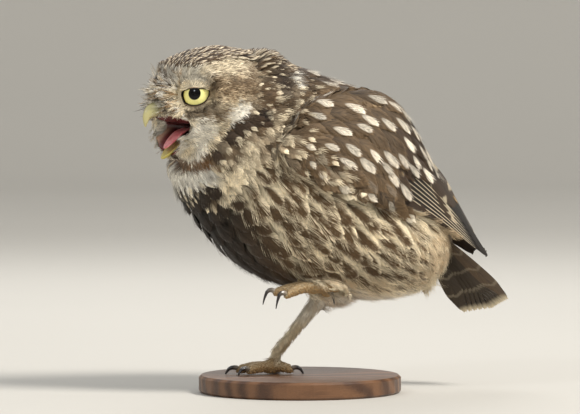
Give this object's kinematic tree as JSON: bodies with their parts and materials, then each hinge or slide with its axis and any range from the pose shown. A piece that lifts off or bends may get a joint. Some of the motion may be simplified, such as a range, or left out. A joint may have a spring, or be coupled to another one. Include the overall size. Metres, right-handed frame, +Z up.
{
  "type": "little owl model",
  "caption": "Life-size model of a little owl calling with one foot raised, on a plain round wooden base.",
  "frame": {"origin": "centre of the round base's underside", "axes": "-X the way the bird's body faces, -Y its left side, +Z up"},
  "size_m": [0.1968, 0.104, 0.1786],
  "materials": {
    "plumage": "brown feathers with white spots and streaks",
    "pale_plumage": "off-white and buff down and short feathers",
    "foot_skin": "buff bristled toes with rough pads",
    "claw_horn": "dark polished horn",
    "bill_horn": "greenish yellow horn",
    "mouth_flesh": "wet pink",
    "eye_surface": "clear polished, yellow iris and black pupil",
    "base_wood": "satin dark wood"
  },
  "bodies": {
    "root": {"bill_lower": "bill_horn", "bill_upper": "bill_horn", "claw_left_1": "claw_horn", "claw_left_2": "claw_horn", "claw_left_3": "claw_horn", "claw_left_4": "claw_horn", "claw_right_1": "claw_horn", "claw_right_2": "claw_horn", "claw_right_3": "claw_horn", "claw_right_4": "claw_horn", "eye_left": "eye_surface", "eye_right": "eye_surface", "foot_left": "foot_skin", "foot_right": "foot_skin", "head": "plumage", "jaw": "pale_plumage", "neck": "plumage", "stand_base": "base_wood", "tail": "plumage", "tarsus_right": "pale_plumage", "thigh_left": "pale_plumage", "thigh_right": "pale_plumage", "toe_left_1": "foot_skin", "toe_left_2": "foot_skin", "toe_left_3": "foot_skin", "toe_left_4": "foot_skin", "toe_right_1": "foot_skin", "toe_right_2": "foot_skin", "toe_right_3": "foot_skin", "toe_right_4": "foot_skin", "tongue": "mouth_flesh", "trunk": "plumage", "wing_left": "plumage", "wing_right": "plumage"}
  },
  "joints": []
}
